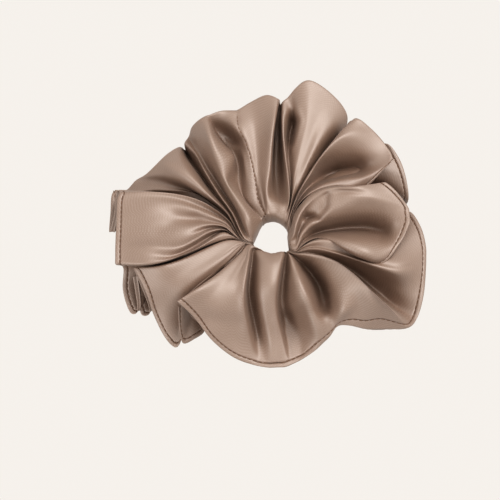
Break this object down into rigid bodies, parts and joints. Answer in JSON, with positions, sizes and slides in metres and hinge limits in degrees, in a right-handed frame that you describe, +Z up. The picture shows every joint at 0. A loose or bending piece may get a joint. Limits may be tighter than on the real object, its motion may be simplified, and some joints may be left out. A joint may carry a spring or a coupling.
{
  "type": "scrunchie",
  "caption": "Oversize gathered satin hair scrunchie: a ruffled fabric tube closed into a ring over a flat elastic band, with a small stretching opening for the hair.",
  "frame": {"origin": "centre of the elastic ring and of the hair opening, half way up its wall", "axes": "+Z up along the axis of the hair opening, +X to the right along the stretch, +Y away from the front"},
  "size_m": [0.1412, 0.1267, 0.0391],
  "materials": {
    "satin_casing": "taupe satin with a soft sheen, matt in the folds",
    "sewing_thread": "spun polyester sewing thread a shade darker than the satin",
    "braided_elastic": "flat braided elastic over rubber cores"
  },
  "bodies": {
    "left_half": {"ruffle_left": "satin_casing", "gathered_neck_left": "satin_casing", "rim_seam_thread_left": "sewing_thread", "closing_seam_thread": "sewing_thread", "elastic_left": "braided_elastic", "elastic_tack_thread": "sewing_thread"},
    "right_half": {"ruffle_right": "satin_casing", "gathered_neck_right": "satin_casing", "rim_seam_thread_right": "sewing_thread", "elastic_right": "braided_elastic"}
  },
  "joints": [
    {"name": "stretch", "type": "slide", "parent": "left_half", "child": "right_half", "axis": [1, 0, 0], "range_m": [0, 0.06], "stiffness_N_per_m": 58}
  ]
}
